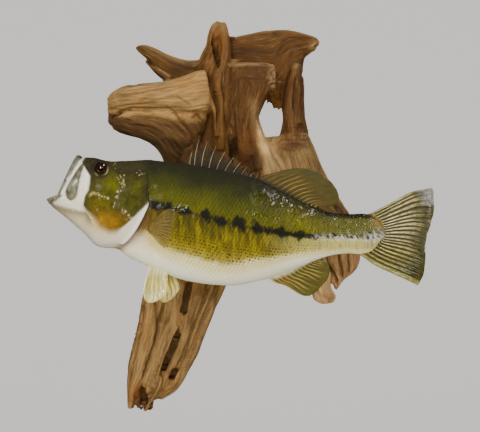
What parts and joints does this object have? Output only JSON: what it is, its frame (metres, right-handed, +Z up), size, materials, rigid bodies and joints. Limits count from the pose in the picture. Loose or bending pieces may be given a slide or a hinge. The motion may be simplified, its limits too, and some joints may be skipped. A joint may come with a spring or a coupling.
{
  "type": "mounted largemouth bass",
  "caption": "Mounted largemouth bass with open mouth and spread fins on a wall-hung piece of driftwood.",
  "frame": {"origin": "a point on the flat back of the driftwood, where it meets the wall, behind the middle of the fish", "axes": "+Z up, +Y into the wall, +X towards the tail; the fish faces -X and shows its left side to the room"},
  "size_m": [0.5074, 0.1565, 0.5302],
  "materials": {
    "fish_skin": "gloss varnish",
    "fish_fins": "gloss varnish",
    "mouth_lining": "gloss varnish",
    "fish_eyes": "polished",
    "driftwood": "bare, weathered"
  },
  "bodies": {
    "root": {"head": "fish_skin", "upper_jaw": "fish_skin", "lower_jaw": "fish_skin", "gill_cover_left": "fish_skin", "gill_cover_right": "fish_skin", "trunk": "fish_skin", "tail_stem": "fish_skin", "tail_fin": "fish_fins", "spiny_dorsal_fin": "fish_fins", "soft_dorsal_fin": "fish_fins", "anal_fin": "fish_fins", "pectoral_fin_left": "fish_fins", "pectoral_fin_right": "fish_fins", "pelvic_fin_left": "fish_fins", "pelvic_fin_right": "fish_fins", "tongue": "mouth_lining", "eye_left": "fish_eyes", "eye_right": "fish_eyes", "wood_core": "driftwood", "wood_left_block": "driftwood", "wood_spike": "driftwood", "wood_left_horn": "driftwood", "wood_centre_block": "driftwood", "wood_wing": "driftwood", "wood_right_limb": "driftwood", "wood_right_sweep": "driftwood", "wood_tail_lobe": "driftwood", "wood_low_lobe": "driftwood", "wood_leg": "driftwood"}
  },
  "joints": []
}
